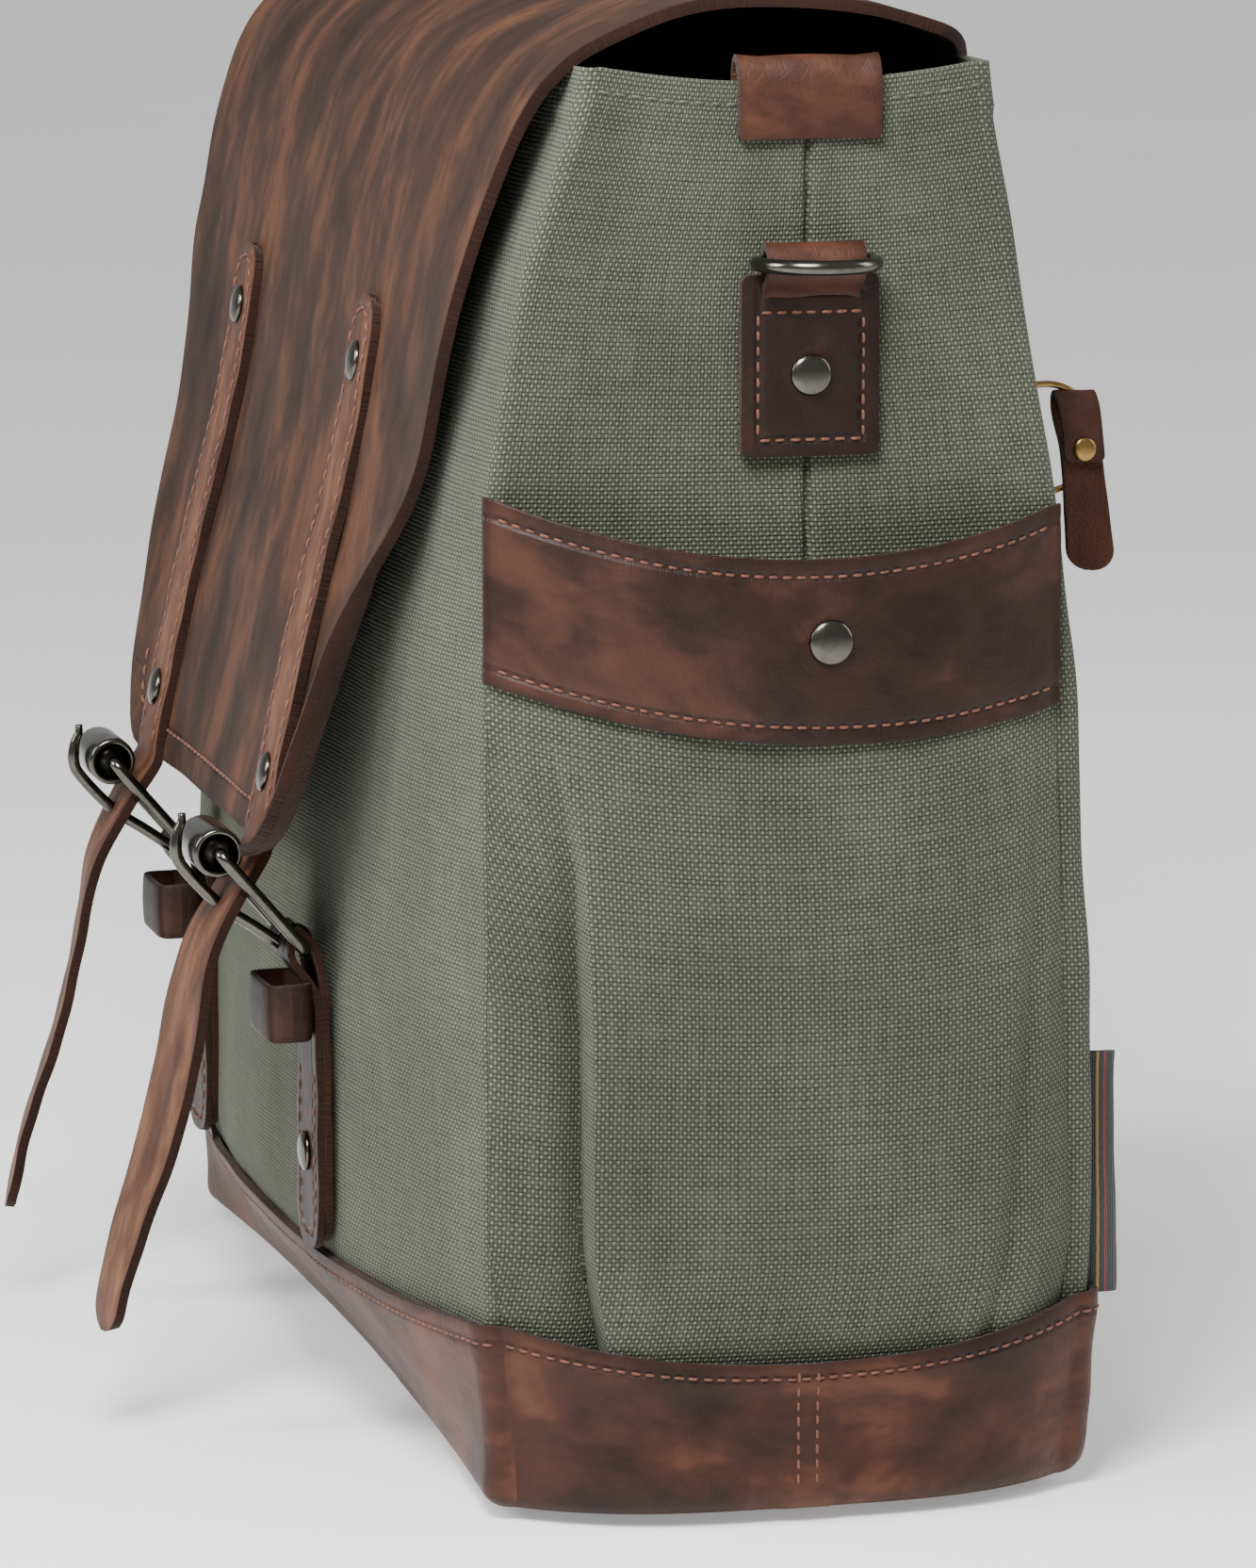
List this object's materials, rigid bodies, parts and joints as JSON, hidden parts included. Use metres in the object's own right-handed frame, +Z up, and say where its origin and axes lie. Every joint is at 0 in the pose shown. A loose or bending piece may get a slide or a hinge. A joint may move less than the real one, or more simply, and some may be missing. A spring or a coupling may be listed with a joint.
{
  "type": "messenger bag",
  "caption": "Canvas messenger bag with a leather flap closed by two strap and roller buckles, a leather base, banded side pockets and gusset D-rings.",
  "frame": {"origin": "middle of the base, on the surface that the bag stands on", "axes": "+Z up, +X along the bag's length to its right end, -Y towards the front flap"},
  "size_m": [0.4074, 0.25, 0.3661],
  "materials": {
    "canvas": "heavy grey-green cotton canvas, matte, coarse two-ply weave",
    "leather": "oiled pull-up leather, dark brown with lighter rubs, satin",
    "gunmetal": "black nickel plate, polished",
    "antique_brass": "antiqued brass plate, rubbed at the edges",
    "base_pad": "darker sole leather, matte",
    "board": "stiffener board, matte",
    "lining_cloth": "dark cotton lining, matte",
    "label": "black woven tape with plain stripes",
    "zip_tape": "woven zip tape, matte"
  },
  "bodies": {
    "bag": {"back_panel": "canvas", "base_board": "board", "base_boot": "leather", "base_pad": "base_pad", "base_panel": "canvas", "flap_anchor": "leather", "front_panel": "canvas", "inner_pocket": "lining_cloth", "left_chape": "leather", "left_chape_rivet": "gunmetal", "left_dring_tab": "leather", "left_gusset": "canvas", "left_keeper": "leather", "left_pocket_band": "leather", "left_side_pocket": "canvas", "left_snap_cap": "gunmetal", "left_snap_stud": "gunmetal", "left_tab_rivet": "gunmetal", "left_top_patch": "leather", "lining": "lining_cloth", "right_chape": "leather", "right_chape_rivet": "gunmetal", "right_dring_tab": "leather", "right_gusset": "canvas", "right_keeper": "leather", "right_pocket_band": "leather", "right_side_pocket": "canvas", "right_snap_cap": "gunmetal", "right_snap_stud": "gunmetal", "right_tab_rivet": "gunmetal", "right_top_patch": "leather", "woven_label": "label", "zip_tape": "zip_tape", "zip_teeth": "antique_brass"},
    "flap_roof": {"flap_top": "leather"},
    "flap_face": {"flap_front": "leather", "right_flap_strap": "leather", "left_flap_strap": "leather", "strap_rivets": "gunmetal", "right_strap_tail": "leather", "left_strap_tail": "leather"},
    "zip_runner": {"zip_slider": "antique_brass"},
    "zip_ring": {"pull_ring": "antique_brass"},
    "zip_pull": {"fob": "leather", "fob_rivet": "antique_brass"},
    "right_frame": {"right_buckle_frame": "gunmetal"},
    "right_roller": {"right_buckle_roller": "gunmetal"},
    "right_prong": {"right_buckle_prong": "gunmetal"},
    "right_ring": {"right_dring": "gunmetal"},
    "left_frame": {"left_buckle_frame": "gunmetal"},
    "left_roller": {"left_buckle_roller": "gunmetal"},
    "left_prong": {"left_buckle_prong": "gunmetal"},
    "left_ring": {"left_dring": "gunmetal"}
  },
  "joints": [
    {"name": "flap_hinge", "type": "hinge", "parent": "bag", "child": "flap_roof", "pos_m": [0, 0.0512, 0.3515], "axis": [-1, 0, 0], "range_deg": [0, 195], "deforming": ["right_strap_tail", "left_strap_tail"]},
    {"name": "flap_fold", "type": "hinge", "parent": "flap_roof", "child": "flap_face", "pos_m": [0, -0.0668, 0.3371], "axis": [-1, 0, 0], "range_deg": [0, 110]},
    {"name": "zip_slide", "type": "slide", "parent": "bag", "child": "zip_runner", "axis": [1, 0, 0], "range_m": [-0.221, 0.009]},
    {"name": "zip_ring_swing", "type": "hinge", "parent": "zip_runner", "child": "zip_ring", "pos_m": [0.106, 0.0713, 0.2505], "axis": [0, 0, 1], "range_deg": [-50, 50]},
    {"name": "zip_pull_swing", "type": "hinge", "parent": "zip_ring", "child": "zip_pull", "pos_m": [0.106, 0.0849, 0.2639], "axis": [0, -1, 0], "range_deg": [0, 60]},
    {"name": "right_frame_tilt", "type": "hinge", "parent": "bag", "child": "right_frame", "pos_m": [0.075, -0.1014, 0.125], "axis": [1, 0, 0], "range_deg": [-4, 34]},
    {"name": "right_roller_spin", "type": "hinge", "parent": "right_frame", "child": "right_roller", "pos_m": [0.075, -0.1228, 0.15], "axis": [1, 0, 0], "continuous": true},
    {"name": "right_prong_lift", "type": "hinge", "parent": "right_frame", "child": "right_prong", "pos_m": [0.075, -0.1014, 0.125], "axis": [1, 0, 0], "range_deg": [0, 24]},
    {"name": "right_ring_swing", "type": "hinge", "parent": "bag", "child": "right_ring", "pos_m": [0.1854, 0.003, 0.3036], "axis": [0, 1, 0], "range_deg": [-85, 85]},
    {"name": "left_frame_tilt", "type": "hinge", "parent": "bag", "child": "left_frame", "pos_m": [-0.075, -0.1014, 0.125], "axis": [1, 0, 0], "range_deg": [-4, 34]},
    {"name": "left_roller_spin", "type": "hinge", "parent": "left_frame", "child": "left_roller", "pos_m": [-0.075, -0.1228, 0.15], "axis": [1, 0, 0], "continuous": true},
    {"name": "left_prong_lift", "type": "hinge", "parent": "left_frame", "child": "left_prong", "pos_m": [-0.075, -0.1014, 0.125], "axis": [1, 0, 0], "range_deg": [0, 24]},
    {"name": "left_ring_swing", "type": "hinge", "parent": "bag", "child": "left_ring", "pos_m": [-0.1854, 0.003, 0.3036], "axis": [0, -1, 0], "range_deg": [-85, 85]}
  ]
}
